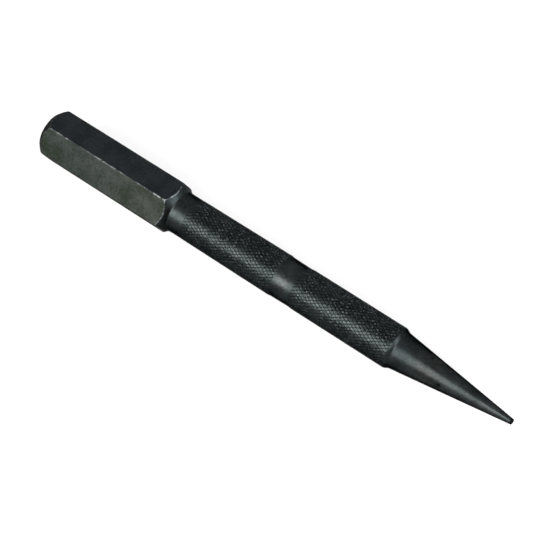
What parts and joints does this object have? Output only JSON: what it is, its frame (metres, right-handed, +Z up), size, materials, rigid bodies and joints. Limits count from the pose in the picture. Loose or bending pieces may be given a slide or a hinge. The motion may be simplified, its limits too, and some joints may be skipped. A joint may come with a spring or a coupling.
{
  "type": "nail setter",
  "caption": "Steel nail setter with a hexagonal striking head, a smooth neck, a knurled grip parted by a smooth band, and a taper to a cupped tip.",
  "frame": {"origin": "on the surface that the tool lies on, under the middle of its length and width", "axes": "+X along the tool's axis from the struck face to the tip, +Z up from the flat of the head that it lies on"},
  "size_m": [0.102, 0.0108, 0.0093],
  "materials": {
    "bar_steel": "black oxide over drawn bar, satin",
    "turned_steel": "black oxide over turned steel, satin",
    "knurled_steel": "black oxide over fine diamond knurl, crests worn lighter",
    "tip_steel": "black oxide over ground steel"
  },
  "bodies": {
    "root": {"struck_end": "bar_steel", "hex_head": "bar_steel", "head_shoulder": "turned_steel", "neck": "turned_steel", "rear_grip": "knurled_steel", "centre_band": "turned_steel", "front_grip": "knurled_steel", "grip_step": "turned_steel", "taper": "turned_steel", "cup_tip": "tip_steel"}
  },
  "joints": []
}
